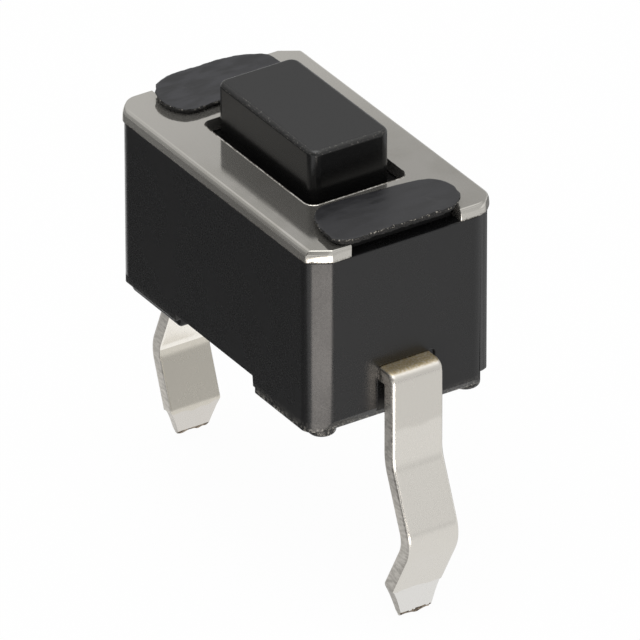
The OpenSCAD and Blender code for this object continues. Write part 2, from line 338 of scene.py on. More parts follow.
def mouldedNylon():
    material, tree, surface, place = newMaterial("blackMouldedNylon", {"IOR": 1.5})
    cloud = speckle(tree, place, 0.9, 2)
    grain = speckle(tree, place, nylon["grain"], 2)
    share = addNode(tree, "MapRange", (grain, 0.6, 0.85))
    black = addNode(tree, "Mix", (share, nylon["black"], nylon["worn"]))
    # The lowest outer edges get painted glints: grey specks, and pale ones on the feet, painted
    # highlights of the rough edges.
    patches = speckle(tree, place, 0.05, 5, roughness=0.65)
    parts = addNode(tree, "SeparateXYZ", (place,)).node.outputs
    outward = []
    for part, size in ((parts["X"], bodyLength), (parts["Y"], bodyWidth)):
        apart = addNode(tree, "Math", (part,), operation="ABSOLUTE")
        outward.append(addNode(tree, "Math", (apart, size / 2 * millimetre), operation="DIVIDE"))
    outward = addNode(tree, "Math", (*outward,), operation="MAXIMUM")
    edge = addNode(tree, "MapRange", (outward, *nylon["outerEdge"]))
    patches = addNode(tree, "Math", (patches, edge), operation="MULTIPLY")
    low = addNode(tree, "Math", (1.0, above(tree, place, *nylon["paintedGlintBelow"])), operation="SUBTRACT")
    paintedGlint = addNode(tree, "MapRange", (patches, 0.4, 0.6))
    paintedGlint = addNode(tree, "Math", (low, paintedGlint), operation="MULTIPLY")
    black = addNode(tree, "Mix", (paintedGlint, black, nylon["paintedGlint"]))
    low = addNode(tree, "Math", (1.0, above(tree, place, *nylon["paleGlintBelow"])), operation="SUBTRACT")
    paleGlintMask = addNode(tree, "MapRange", (patches, 0.52, 0.6))
    paleGlintMask = addNode(tree, "Math", (paleGlintMask, low), operation="MULTIPLY")
    black = addNode(tree, "Mix", (paleGlintMask, black, nylon["paleGlint"]))
    satin = addNode(tree, "MapRange", (grain, 0.3, 0.8, *nylon["satin"]))
    cloudy = addNode(tree, "MapRange", (cloud, 0.35, 0.65, -0.03, 0.03))
    rough = addNode(tree, "Math", (cloudy, satin), operation="ADD")
    dress(tree, surface, black, rough, [(cloud, 0.0005), (grain, 0.0002)])
    return material


def heatFormedNylon():
    # Nylon pressed flat by a hot tool: a flatter, cloudy black with drawn flow marks.
    material, tree, surface, place = newMaterial("heatFormedNylon", {"IOR": 1.5})
    flow = speckle(tree, place, 0.25, 4, stretch=(1.6, 0.5, 1))
    grain = speckle(tree, place, 0.03, 2)
    # Painted light: the far head is painted lighter and bluer than the near one, for the different
    # light the two heads catch.
    across = addNode(tree, "SeparateXYZ", (place,), output="X")
    side = addNode(tree, "MapRange", (across, -1 * millimetre, 1 * millimetre))
    dull = addNode(tree, "Mix", (side, "#2b2b2f", "#202023"))
    share = addNode(tree, "MapRange", (flow, 0.35, 0.65))
    colour = addNode(tree, "Mix", (share, "#151518", dull))
    rough = addNode(tree, "MapRange", (flow, 0.3, 0.7, 0.3, 0.42))
    dress(tree, surface, colour, rough, [(flow, 0.002), (grain, 0.0008)])
    return material


def paintedShadeAndGlintRim():
    # The squeezed-out rims and the posts under the heads: painted shade, a black darker than the
    # moulding, and pale crumbs on the upper rim that are painted glints.
    material, tree, surface, place = newMaterial("paintedShadeAndGlintRim", {"IOR": 1.5})
    crumbs = speckle(tree, place, 0.035, 4, roughness=0.6)
    rimOnly = above(tree, place, 3.54, 3.58)  # the heads' upper rim
    pale = addNode(tree, "MapRange", (crumbs, 0.55, 0.63))
    pale = addNode(tree, "Math", (pale, rimOnly), operation="MULTIPLY")
    # The darker black is painted shade, and the pale colour is painted glints.
    colour = addNode(tree, "Mix", (pale, "#0d0c0c", "#a29d94"))
    rough = addNode(tree, "MapRange", (crumbs, 0.3, 0.7, 0.6, 0.85))
    dress(tree, surface, colour, rough, [(crumbs, 0.01)])
    return material


def buttonNylon():
    # The same nylon from a finer mould: a smoother satin that mirrors the cover.
    material, tree, surface, place = newMaterial("satinBlackButtonNylon", {"IOR": 1.5})
    grain = speckle(tree, place, 0.03, 2)
    share = addNode(tree, "MapRange", (grain, 0.55, 0.8))
    black = addNode(tree, "Mix", (share, "#111111", "#1a1a1a"))
    rough = addNode(tree, "MapRange", (grain, 0.3, 0.8, 0.2, 0.27))
    dress(tree, surface, black, rough, [(grain, 0.0002)])
    return material


def paintedEdgeGlints():
    # The button's upper edge: black painted lighter, with pale short broken specks, as painted glints
    # along the edge.
    material, tree, surface, place = newMaterial("paintedGlintButtonEdge", {"IOR": 1.5})
    specks = speckle(tree, place, 0.03, 4, roughness=0.6)
    share = addNode(tree, "MapRange", (specks, 0.58, 0.7))
    # Painted highlight: the lighter black and the pale specks.
    paintedGlint = addNode(tree, "Mix", (share, "#1d1d1c", "#77746e"))
    rough = addNode(tree, "MapRange", (specks, 0.3, 0.7, 0.3, 0.5))
    dress(tree, surface, paintedGlint, rough, [(specks, 0.002)])
    return material


# Cold-rolled stainless sheet: a soft mirror with faint rolling lines, with painted shade along its
# ragged lower edge where it sits on the moulding.
steel = {
    # After the two sheet tones come a brighter one for painted light, and two dark ones for painted
    # shade on the lower edge and on the burr.
    "face": "#b8b5af", "dull": "#afaca5", "brighter": "#d0cdc6", "edge": "#2c261f", "bent": "#6d6962",
    "mirror": (0.08, 0.12), "metal": 0.87,
    # Where along the sheet it is painted brighter towards one end and at its ends, and the heights of
    # its painted shade band and burr.
    "paintedBrightening": (-3.2, 2.0), "paintedBrightEnds": (2.93, 2.98), "paintedShadeBand": (3.235, 3.285), "burr": (3.461, 3.464),
}


def rolledSteel():
    material, tree, surface, place = newMaterial("rolledSteelSheet", {})
    cloud = speckle(tree, place, 0.8, 3)
    streak = speckle(tree, place, 0.05, 3, stretch=(0.06, 1, 1))
    share = addNode(tree, "MapRange", (cloud, 0.35, 0.7))
    face = addNode(tree, "Mix", (share, steel["face"], steel["dull"]))
    # Painted light: the sheet is painted brighter slowly towards one end, and both blanked ends are
    # painted brighter, for the reflections there.
    along = addNode(tree, "SeparateXYZ", (place,), output="X")
    start, end = (v * millimetre for v in steel["paintedBrightening"])
    slow = addNode(tree, "MapRange", (along, start, end, 1.0, 0.0))
    start, end = (v * millimetre for v in steel["paintedBrightEnds"])
    apart = addNode(tree, "Math", (along,), operation="ABSOLUTE")
    paintedBrightEnds = addNode(tree, "MapRange", (apart, start, end))
    share = addNode(tree, "Math", (slow, paintedBrightEnds), operation="MAXIMUM")
    face = addNode(tree, "Mix", (share, face, steel["brighter"]))
    # Painted shade: the lowest edge of the sheet is painted dark brown, less metallic and rougher, with
    # a ragged boundary.
    torn = speckle(tree, place, 0.03, 5, stretch=(0.6, 0.6, 1), roughness=0.7)
    height = addNode(tree, "SeparateXYZ", (place,), output="Z")
    wander = 0.035 * millimetre
    ragged = addNode(tree, "MapRange", (torn, 0.2, 0.8, -wander, wander))
    ragged = addNode(tree, "Math", (height, ragged), operation="ADD")
    start, end = (v * millimetre for v in steel["paintedShadeBand"])
    outsideShadeBand = addNode(tree, "MapRange", (ragged, start, end))
    # The burr round the opening is bright in some places and painted darker grey in others: painted
    # shade where the burr would turn out of the light.
    crooked = speckle(tree, place, 0.09, 4, roughness=0.7)
    crooked = addNode(tree, "MapRange", (crooked, 0.46, 0.54))
    bent = above(tree, place, *steel["burr"])
    bent = addNode(tree, "Math", (bent, crooked), operation="MULTIPLY")
    face = addNode(tree, "Mix", (bent, face, steel["bent"]))
    colour = addNode(tree, "Mix", (outsideShadeBand, steel["edge"], face))
    metal = addNode(tree, "MapRange", (outsideShadeBand, 0, 1, 0.25, steel["metal"]))
    tree.links.new(metal, surface.inputs["Metallic"])
    hazy = addNode(tree, "MapRange", (cloud, 0.3, 0.7, -0.02, 0.02))
    lined = addNode(tree, "MapRange", (streak, 0.3, 0.7, *steel["mirror"]))
    shadeBandRough = addNode(tree, "MapRange", (outsideShadeBand, 0, 1, 0.4, 0.0))
    rough = addNode(tree, "Math", (hazy, lined), operation="ADD")
    rough = addNode(tree, "Math", (rough, shadeBandRough), operation="ADD")
    dress(tree, surface, colour, rough, [(streak, 0.0001), (cloud, 0.001)])
    return material


# Matte tin over brass: bright and soft, with brass at the bend where the plating is stretched thin.
tin = {
    # Three tones down the outer faces, painted brighter towards the tip, and a darker set for the inner
    # faces: painted light and painted shade.
    "outer": ("#e6e2da", "#f4f0e8", "#fdfbf7"), "inner": ("#cfcabf", "#cfcabf", "#d2cec8"),
    "stretched": "#bba87c", "satin": (0.2, 0.28),
    # Heights in millimetres: the two steps of the painted tone, and the bend's thin plating and dull
    # skin.
    "upperToneStep": (0.0, 0.1), "lowerToneStep": (-2.99, -2.96), "thin": (1.02, 1.05), "dull": (0.9, 1.04),
}


def tinPlate(name, tones):
    material, tree, surface, place = newMaterial(name, {"Metallic": 1.0})
    cloud = speckle(tree, place, 0.6, 3)
    streak = speckle(tree, place, 0.04, 3, stretch=(1, 1, 0.08))
    # Painted light: the strip is painted a brighter tone below each of two heights, across the strip
    # with a wandering boundary.
    wander = addNode(tree, "Math", (cloud, 0.5), operation="SUBTRACT")
    wander = addNode(tree, "Math", (wander, 0.3 * millimetre), operation="MULTIPLY")
    height = addNode(tree, "SeparateXYZ", (place,), output="Z")
    height = addNode(tree, "Math", (height, wander), operation="ADD")
    start, end = (v * millimetre for v in tin["upperToneStep"])
    middle = addNode(tree, "MapRange", (height, start, end))
    start, end = (v * millimetre for v in tin["lowerToneStep"])
    tip = addNode(tree, "MapRange", (height, start, end))
    paintedTone = addNode(tree, "Mix", (middle, tones[1], tones[0]))
    paintedTone = addNode(tree, "Mix", (tip, tones[2], paintedTone))
    bare = addNode(tree, "MapRange", (streak, 0.3, 0.6, 0.4, 0.9))
    bend = above(tree, place, *tin["thin"])
    bend = addNode(tree, "Math", (bend, bare), operation="MULTIPLY")
    colour = addNode(tree, "Mix", (bend, paintedTone, tin["stretched"]))
    satin = addNode(tree, "MapRange", (streak, 0.3, 0.7, *tin["satin"]))
    rough = addNode(tree, "MapRange", (cloud, 0.3, 0.7, -0.02, 0.03))
    rough = addNode(tree, "Math", (rough, satin), operation="ADD")
    dull = above(tree, place, *tin["dull"])
    dull = addNode(tree, "Math", (dull, 0.3), operation="MULTIPLY")
    rough = addNode(tree, "Math", (rough, dull), operation="ADD")
    dress(tree, surface, colour, rough, [(cloud, 0.0015), (streak, 0.0004)])
    return material


def shearedEdge():
    # The cut sides of the strip: greyer, with drag lines across the thickness and small pits.
    material, tree, surface, place = newMaterial("shearedTinnedEdge", {"Metallic": 1.0})
    drag = speckle(tree, place, 0.05, 4, stretch=(0.35, 1, 1), roughness=0.6)
    pits = speckle(tree, place, 0.03, 3)
    share = addNode(tree, "MapRange", (drag, 0.35, 0.65))
    grey = addNode(tree, "Mix", (share, "#a8a49d", "#d2cec7"))
    # Pale specks on the sides near the body, above 0.1 to 0.5 mm.
    crumbs = addNode(tree, "MapRange", (pits, 0.42, 0.55))
    crumbs = addNode(tree, "Math", (above(tree, place, 0.1, 0.5), crumbs), operation="MULTIPLY")
    grey = addNode(tree, "Mix", (crumbs, grey, "#ebe7e0"))
    share = addNode(tree, "MapRange", (pits, 0.62, 0.75))
    colour = addNode(tree, "Mix", (share, grey, "#4d4842"))
    rough = addNode(tree, "MapRange", (drag, 0.3, 0.7, 0.3, 0.5))
    dress(tree, surface, colour, rough, [(drag, 0.002), (pits, 0.001)])
    return material


def tornMetal():
    # The broken end, where the strip was torn off its carrier: dark bare brass grains.
    material, tree, surface, place = newMaterial("tornBrass", {"Metallic": 1.0})
    grains = speckle(tree, place, 0.05, 4, roughness=0.65)
    share = addNode(tree, "MapRange", (grains, 0.4, 0.62))
    colour = addNode(tree, "Mix", (share, "#3a2f26", "#a8947a"))
    rough = addNode(tree, "MapRange", (grains, 0.3, 0.7, 0.55, 0.35))
    dress(tree, surface, colour, rough, [(grains, 0.01)])
    return material


def springSteel():
    # The dome's bright hard-rolled spring strip, with fine lines one way.
    material, tree, surface, place = newMaterial("brightSpringSteel", {"Metallic": 1.0})
    streak = speckle(tree, place, 0.05, 3, stretch=(0.08, 1, 1))
    share = addNode(tree, "MapRange", (streak, 0.3, 0.7))
    colour = addNode(tree, "Mix", (share, "#c9c9c9", "#b6b6b4"))
    rough = addNode(tree, "MapRange", (streak, 0.3, 0.7, 0.18, 0.28))
    dress(tree, surface, colour, rough, [(streak, 0.0004)])
    return material


bodyNylon, stakeNylon, paintedRimShade = mouldedNylon(), heatFormedNylon(), paintedShadeAndGlintRim()
capNylon, edgeGlintNylon = buttonNylon(), paintedEdgeGlints()
sheetSteel = rolledSteel()
# The second tin is a darker copy of the first, painted shade for the leads' inner faces.
leadTin, paintedShadeTin = tinPlate("satinTinPlate", tin["outer"]), tinPlate("paintedShadeTinPlate", tin["inner"])
shearedTin, tornBrass = shearedEdge(), tornMetal()
print("materials made:", len(bpy.data.materials))


housing = {
    "length": bodyLength, "width": bodyWidth, "cornerCut": 0.33, "steepCut": (0.24, 0.38), "top": 3.25,
    "cornerRadii": (0.42, 0.235, 0.2), "edgeBevel": 0.02,
    "blockBottom": 0.12, "steps": ((1.2, 0.06, 0.42), (1.26, 0.355, 0.22)),
    "endBevels": ((0.1, 0.2), (0.06, 0.12)), "lowerCorner": ((2.72, 0.2), (3.1, 0.2), (3.1, 0.42)),
    "slotHalf": (0.535, 0.56), "slotTop": 1.075, "slotDepth": 0.04,
    "cavity": (3.88, 2.52, 0.26), "cavityFloor": 1.05, "hole": (1.65, 0.3, 0.785),
    "foot": (1.29, 2.91, 1.165, 1.645), "footRadii": (0.07, 0.235, 0.235, 0.07),
    "footSetBack": 0.07, "footRoll": 0.07,
}


def cutCorners(length, width, cut, steep):
    # Two opposite corners are cut at 45 degrees, the other two more steeply across the end.
    x, y = length / 2, width / 2
    half = [(cut - x, -y), (x - steep[0], -y), (x, steep[1] - y), (x, y - cut)]
    return half + [(-a, -b) for a, b in half]


def makeHousing(s):
    # The outline pushed up, less the steps, slots, cavity and holes, with a foot at each corner.
    plain, long, end = s["cornerRadii"]
    radii = [plain, long, end, plain] * 2
    corners = cutCorners(s["length"], s["width"], s["cornerCut"], s["steepCut"])
    outline = outlineRings(corners, [0.0], radii, 12)[0]
    body = shell("housing", stacked(np.stack([outline, outline]), [s["blockBottom"], s["top"]]))
    # The cuts below the skirt leave one base block at each end, stepped back from one long side.
    far = 4  # outside the moulding on every side
    for inner, inset, height in s["steps"]:
        edge = s["width"] / 2 - inset
        under = [(-far, -far), (inner, -far), (inner, edge), (far, edge)]
        under += [(-a, -b) for a, b in under]
        combine(body, tool(under, -1, height), "DIFFERENCE")
    x, z = s["length"] / 2, s["blockBottom"]
    for side in (1, -1):
        for half, (deep, high) in zip((-side, side), s["endBevels"]):
            wedge = [(x - 2 * deep, z - high), (x + 1, z - high)]
            wedge += [(x + 1, z + 3 * high), (x + 2 * deep, z + 3 * high)]
            reach = sorted((half * 0.3, half * far))
            cutter = tool([(side * a, b) for a, b in wedge], *reach, "y")
            combine(body, cutter, "DIFFERENCE")
        # A steeper cut takes the lower corner off where the block is stepped back.
        reach = sorted((side * edge, side * far))
        cutter = tool([(side * a, b) for a, b in s["lowerCorner"]], *reach, "y")
        combine(body, cutter, "DIFFERENCE")
    upper, lower = s["slotHalf"]
    ceiling = s["slotTop"]
    arch = [(upper, ceiling - 0.06), (upper - 0.02, ceiling - 0.015), (upper - 0.06, ceiling)]
    slot = [(-lower, -0.2), (lower, -0.2), *arch, *[(-a, b) for a, b in arch[::-1]]]
    root = x - s["slotDepth"]
    for near, out in ((root, far), (-far, -root)):
        combine(body, tool(slot, near, out, "x"), "DIFFERENCE")
    bevelSharp(body, s["edgeBevel"], 2, s["steps"][0][2])
    x0, x1, y0, y1 = s["foot"]
    inset, height = rolledWall(0, s["blockBottom"] + 0.2, s["footRoll"])
    foot = outlineRings([(x0, y0), (x1, y0), (x1, y1), (x0, y1)], inset, s["footRadii"], 8)
    for sx in (1, -1):
        for sy in (1, -1):
            place = foot - (0, s["footSetBack"]) if sx * sy > 0 else foot
            rings = stacked(place * (sx, sy), height)
            rings = rings if sx * sy > 0 else rings[:, ::-1]
            combine(body, shell("foot", rings), "UNION")
    length, width, radius = s["cavity"]
    x, y = length / 2, width / 2
    hollow = outlineRings([(-x, -y), (x, -y), (x, y), (-x, y)], [0.0], [radius] * 4, 8)[0]
    combine(body, tool(hollow, s["cavityFloor"], 5), "DIFFERENCE")
    angle = np.linspace(0, 2 * math.pi, 32, endpoint=False)
    across, hole, depth = s["hole"]
    for side in (1, -1):
        circle = np.stack([side * across + hole * np.cos(angle), hole * np.sin(angle)], 1)
        combine(body, tool(circle, -1, depth), "DIFFERENCE")
    return body


body = makeHousing(housing)


# The two heat-formed heads as seen from above, each by points round its rim.
stake = {
    "post": (2.23, 2.74, 1.0), "low": 3.463, "points": 520, "spine": (2.47, 0.62),
    "near": [
        (1.9, -0.95), (2.13, -1.19), (2.53, -1.3), (2.86, -1.29), (3.0, -1.1), (3.03, -0.8),
        (3.02, -0.4), (3.02, 0.1), (3.03, 0.6), (2.98, 0.92), (2.8, 1.14), (2.54, 1.23), (2.3, 1.21),
        (2.1, 1.08), (2.0, 0.86), (1.95, 0.5), (1.92, 0.04), (1.88, -0.37), (1.87, -0.7),
    ],
    "far": [
        (-1.9, -0.79), (-1.91, -0.4), (-1.92, 0.1), (-1.93, 0.6), (-2.02, 0.93), (-2.22, 1.07),
        (-2.48, 1.1), (-2.74, 1.05), (-2.88, 0.84), (-2.97, 0.6), (-3.02, 0.2), (-3.02, -0.15),
        (-3.03, -0.47), (-2.99, -0.76), (-2.9, -0.95), (-2.73, -1.12), (-2.5, -1.21), (-2.28, -1.21),
        (-2.1, -1.15), (-1.95, -1.02),
    ],
    # From the underside's middle, out to the foot, up the undercut wall, over the rim, in over the top.
    "insets": [
        0.5, 0.3, 0.13, 0.065, 0.06, 0.05, 0.04, 0.03, 0.02, 0.01, 0.0, 0.0, 0.008, 0.03, 0.06, 0.1,
        0.16, 0.24, 0.34, 0.45, 0.55,
    ],
    "rise": [
        0.0, 0.0, 0.0, 0.0, 0.014, 0.03, 0.046, 0.062, 0.078, 0.092, 0.106, 0.12, 0.131, 0.137, 0.137,
        0.136, 0.135, 0.134, 0.133, 0.133, 0.133,
    ],
    "ragged": [0, 0, 0.3, 1.2, 1, 1, 1, 1, 1, 1, 1, 1, 0.9, 0.35, 0.12, 0, 0, 0, 0, 0, 0],
    "raggedDepth": 0.007, "wave": 0.004, "tilt": 0.035, "skinFrom": 3.3, "flatFrom": 3.55,
}


def makeStake(s, side, points, seed):
    # Each ring is the rim moved towards the nearest point of the head's middle line.
    rim = closedCurve(points, s["points"])
    middle, reach = s["spine"]
    nearest = np.stack([np.full(len(rim), side * middle), np.clip(rim[:, 1], -reach, reach)], 1)
    inward = nearest - rim
    depth = np.linalg.norm(inward, axis=1)[:, None]
    inward /= depth
    insets = np.minimum(np.array(s["insets"])[:, None, None], 0.92 * depth)
    levels = len(s["insets"])
    ragged = crumble(levels, len(rim), (0.8, 2.2), seed)
    ragged = ragged * np.array(s["ragged"])[:, None] * s["raggedDepth"]
    slow = crumble(levels, len(rim), (6, 14), seed + 1) * s["wave"]
    rings = rim + inward * (insets + (ragged + slow * (insets[:, :, 0] < 0.12))[:, :, None])
    rise = np.broadcast_to(np.array(s["rise"])[:, None], ragged.shape).copy()
    top = rise > 0.1
    # Only the far head, whose side is -1, is tilted.
    tilt = s["tilt"] * (middle - side * rings[:, :, 0])[top] * (side - 1) / 2
    rise[top] += (0.35 * ragged + 0.4 * slow)[top] + tilt
    lifted = np.concatenate([rings, (s["low"] + rise)[:, :, None]], 2)
    return shell("stake", lifted)


for side, place, seed in ((1, "near", 5), (-1, "far", 11)):
    inner, outer, half = stake["post"]
    post = box(sorted((side * inner, side * outer)), (-half, half), (3.0, 3.5))
    head = makeStake(stake, side, stake[place], seed)
    combine(head, post, "UNION")
    combine(body, head, "UNION")
print("stakes formed:", len(body.data.polygons), "faces in the moulding")
nylons = [bodyNylon, stakeNylon, paintedRimShade]
body = finishPiece(body, "housingMoulding", nylons, "base", ["housing"], 12)


def housingFaces(middle, normal):
    # 0 for the moulding, 1 for the heads' pressed tops, 2 for their rims and the posts under them, in
    # the material with painted shade and painted glints.
    pressed = (normal[:, 2] > 0.9) & (middle[:, 2] > stake["flatFrom"])
    return np.where(middle[:, 2] < stake["skinFrom"], 0, np.where(pressed, 1, 2))


paintFaces(body, housingFaces)


cover = {
    "length": bodyLength, "width": bodyWidth, "low": 3.25, "high": 3.46,
    "cornerCut": 0.28, "steepCut": (0.24, 0.38), "cornerRadii": (0.33, 0.05, 0.05),
    "longRoll": (0.12, 0.2), "endRoll": 0.05, "rollPower": 2.3, "opening": (3.24, 1.88, 0.18),
    "burr": (0.007, 0.009), "notch": (2.2, 1.03, 0.03),
}


def makeCover(s):
    # The upper edge follows a superellipse, in = a(1 - sin^(2/p) t), down = b(1 - cos^(2/p) t),
    # wide along the long sides and narrow along the ends.
    t = np.linspace(math.pi / 2, 0, 25)
    inward = 1 - np.sin(t) ** (2 / s["rollPower"])
    down = 1 - np.cos(t) ** (2 / s["rollPower"])
    wide, deep = s["longRoll"]
    rolls = np.array([wide, s["endRoll"], s["endRoll"], s["endRoll"]] * 2)
    insets = np.concatenate([np.zeros((1, 8)), inward[:, None] * rolls])
    heights = np.concatenate([[s["low"]], s["high"] - deep * down])
    plain, long, end = s["cornerRadii"]
    corners = cutCorners(s["length"], s["width"], s["cornerCut"], s["steepCut"])
    rings = outlineRings(corners, insets, [plain, long, end, plain] * 2, 5)
    sheet = shell("cover", stacked(rings, heights))
    # A sheared opening: its burr stands a little above the sheet all round.
    length, width, radius = s["opening"]
    out, up = s["burr"]
    x, y = length / 2, width / 2
    corners = [(-x, -y), (x, -y), (x, y), (-x, y)]
    burrInsets = np.array([-0.5, -2.6, -1.6, -0.8, 0.0, 0.6]) * out
    burrHeights = s["high"] + np.array([-5, 0.02, 0.45, 0.9, 1.0, -5]) * up
    burr = outlineRings(corners, burrInsets, [radius] * 4, 10)
    combine(sheet, shell("burr", stacked(burr, burrHeights)), "UNION")
    cut = outlineRings(corners, [0.0], [radius] * 4, 10)[0]
    combine(sheet, tool(cut, s["low"] - 1, s["high"] + 1), "DIFFERENCE")
    inner, half, mouth = s["notch"]
    turn = np.linspace(0, math.pi / 2, 7)
    x = s["length"] / 2 - mouth
    curve = np.stack([x + mouth * np.sin(turn), half + mouth * (1 - np.cos(turn))], 1).tolist()
    upper = [(inner, half), *curve, (5, half + mouth)]
    outline = [(a, -b) for a, b in upper] + upper[::-1]
    for side in (1, -1):
        combine(sheet, tool([(side * a, side * b) for a, b in outline], 2, 5), "DIFFERENCE")
    return sheet


sheet = makeCover(cover)
sheet = finishPiece(sheet, "coverPlate", [sheetSteel], "base", ["cover_plate"], 50)


button = {
    "length": 2.86, "width": 1.5, "top": 4.28, "cornerRadius": 0.18, "topRoll": 0.09,
    "shift": (-0.02, -0.01), "flange": (3.72, 2.36, 2.73, 3.23), "flangeRadius": 0.18,
    "stem": 0.65, "nose": 0.4, "noseLow": 1.45, "noseHigh": 1.7, "glintFrom": 4.2,
}


def makeButton(s):
    # Rings from the nose up: round below the flange, then the flange, then the cap and its roll.
    x, y = s["length"] / 2, s["width"] / 2
    roll, height = rolledWall(s["flange"][3], s["top"], 0, s["topRoll"], 6)
    cap = outlineRings([(-x, -y), (x, -y), (x, y), (-x, y)], roll, [s["cornerRadius"]] * 4, 10)
    fx, fy = s["flange"][0] / 2, s["flange"][1] / 2
    corners = [(-fx, -fy), (fx, -fy), (fx, fy), (-fx, fy)]
    flange = outlineRings(corners, [0.0], [s["flangeRadius"]] * 4, 10)[0]
    around = np.arctan2(cap[0, :, 1], cap[0, :, 0])
    circle = np.stack([np.cos(around), np.sin(around)], 1)
    nose, stem = s["nose"] * circle, s["stem"] * circle
    rings = np.concatenate([[nose, stem, stem, flange, flange], cap])
    low, high = s["flange"][2:]
    heights = [s["noseLow"], s["noseHigh"], low, low, high, *height]
    return shell("button", stacked(rings + s["shift"], heights))


def capFaces(middle, normal):
    # 1 for the rolled upper edge, which gets the painted glints.
    slanted = (normal[:, 2] > 0.2) & (normal[:, 2] < 0.97)
    return slanted & (middle[:, 2] > button["glintFrom"])


cap = makeButton(button)
cap = finishPiece(cap, "pushButton", [capNylon, edgeGlintNylon], "push_button", ["button"])
paintFaces(cap, capFaces)


lead = {
    "width": 0.97, "thickness": 0.27, "frontEdge": 0.065, "backEdge": 0.025,
    "x": 3.25, "stripTop": 1.06, "root": 2.4, "bend": 0.005, "bendPower": 3.5,
    "kinkStart": -0.62, "knee": (3.79, -1.93), "tipStart": -2.95, "end": -3.5,
    "kinkRadius": (0.9, 0.55, 0.12), "tipWidth": 0.56, "tipThickness": 0.15, "shift": -0.025,
    "tornDepth": 0.012, "tornEdge": (0.05, 0.07), "tornBelow": -3.37, "paintedShadeBelow": -1.9,
    "farLean": 0.2, "farEnd": -3.45, "ringPoints": 120,
    "frame": (1.65, 1.165, 0.735, 1.22), "contact": (0.35, 0.25, 0.05),
}


def roundedPath(points, radii, steps):
    # Straight runs joined by arcs that touch both runs at each inner corner.
    points = np.asarray(points, float)
    u = points[:-2] - points[1:-1]
    w = points[2:] - points[1:-1]
    u /= np.linalg.norm(u, axis=1)[:, None]
    w /= np.linalg.norm(w, axis=1)[:, None]
    half = np.arccos((u * w).sum(1)) / 2
    radii = np.asarray(radii, float)
    middle = (u + w) / np.linalg.norm(u + w, axis=1)[:, None]
    centres = points[1:-1] + middle * (radii / np.sin(half))[:, None]
    first = points[1:-1] + u * (radii / np.tan(half))[:, None] - centres
    last = points[1:-1] + w * (radii / np.tan(half))[:, None] - centres
    start = np.arctan2(first[:, 1], first[:, 0])
    turn = (np.arctan2(last[:, 1], last[:, 0]) - start + math.pi) % (2 * math.pi) - math.pi
    angles = start[:, None] + turn[:, None] * np.linspace(0, 1, steps + 1)
    arcs = centres[:, None] + radii[:, None, None] * np.stack([np.cos(angles), np.sin(angles)], 2)
    return np.concatenate([points[:1], arcs.reshape(-1, 2), points[-1:]])


def evenly(path, gap):
    # Points at even distances along an open path, about one gap apart.
    length = np.concatenate([[0], np.cumsum(np.linalg.norm(np.diff(path, axis=0), axis=1))])
    at = np.linspace(0, length[-1], int(length[-1] / gap) + 1)
    return np.stack([np.interp(at, length, path[:, k]) for k in (0, 1)], 1)


def makeLead(s, side, lean=0.0, end=None):
    # A rounded rectangle carried along the strip's middle line, narrower and thinner towards the
    # tip, whose last rings are torn: their heights get a rough noise.
    end = s["end"] if end is None else end
    middle = s["stripTop"] - s["thickness"] / 2
    bend = s["bend"] + s["thickness"] / 2
    corners = [(s["root"], middle), (s["x"], middle), (s["x"], s["kinkStart"]), s["knee"]]
    corners += [(s["x"] + 0.85 * lean, s["tipStart"]), (s["x"] + lean, end)]
    path = evenly(roundedPath(corners, [bend, *s["kinkRadius"]], 24), 0.02)
    run = np.gradient(path, axis=0)
    run /= np.linalg.norm(run, axis=1)[:, None]
    normal = np.stack([-run[:, 1], run[:, 0]], 1)
    share = np.clip((s["tipStart"] - path[:, 1]) / (s["tipStart"] - end), 0, 1)
    back, last = s["tornEdge"]
    thin = share * (s["thickness"] - s["tipThickness"]) / 2
    thin = thin + back * np.clip((end + last - path[:, 1]) / last, 0, 1)
    narrow = share**0.7 * (s["width"] - s["tipWidth"]) / 2
    h, w = s["thickness"] / 2, s["width"] / 2
    insets = np.stack([narrow, thin, narrow, thin], 1)
    radii = [s["backEdge"], s["frontEdge"], s["frontEdge"], s["backEdge"]]
    section = outlineRings([(-h, -w), (h, -w), (h, w), (-h, w)], insets, radii, 6)
    section = resampled(section, s["ringPoints"])
    # The bend's outer side is pressed out to a superellipse, radius r (|cos|^p + |sin|^p)^(-1/p).
    p = s["bendPower"]
    squared = (np.abs(normal) ** p).sum(1) ** (-1 / p) - 1
    pushed = (path[:, 1] > 0.6) * (bend + h) * squared
    reach = section[:, :, :1] + pushed[:, None, None] * np.clip(section[:, :, :1] / h, 0, 1)
    place = path[:, None, :] + normal[:, None, :] * reach
    height = place[:, :, 1]
    nearEnd = np.linspace(0, 1, len(path))[:, None] ** 90
    torn = crumble(len(path), s["ringPoints"], (0.7, 4), 7 + side) * nearEnd
    height = height + s["tornDepth"] * torn
    rings = np.stack([side * place[:, :, 0], side * section[:, :, 1] + s["shift"], height], 2)
    piece = shell("lead", rings)
    faceOut(piece.data)
    return piece


def makeOuterTerminal(s):
    # The near lead, and the fork that the dome's rim stands on.
    piece = makeLead(s, 1)
    x, y, inner, arm = s["frame"]
    low, high = s["stripTop"] - s["thickness"], s["stripTop"]
    fork = [(-x, -y), (x, -y), (x, y), (-x, y)]
    fork += [(-x, inner), (arm, inner), (arm, -inner), (-x, -inner)]
    combine(piece, tool(fork, low, high), "UNION")
    half = s["width"] / 2 - 0.002
    strip = box((arm + 0.02, s["root"] + 0.1), (-half, half), (low + 0.002, high - 0.002))
    combine(piece, strip, "UNION")
    return piece


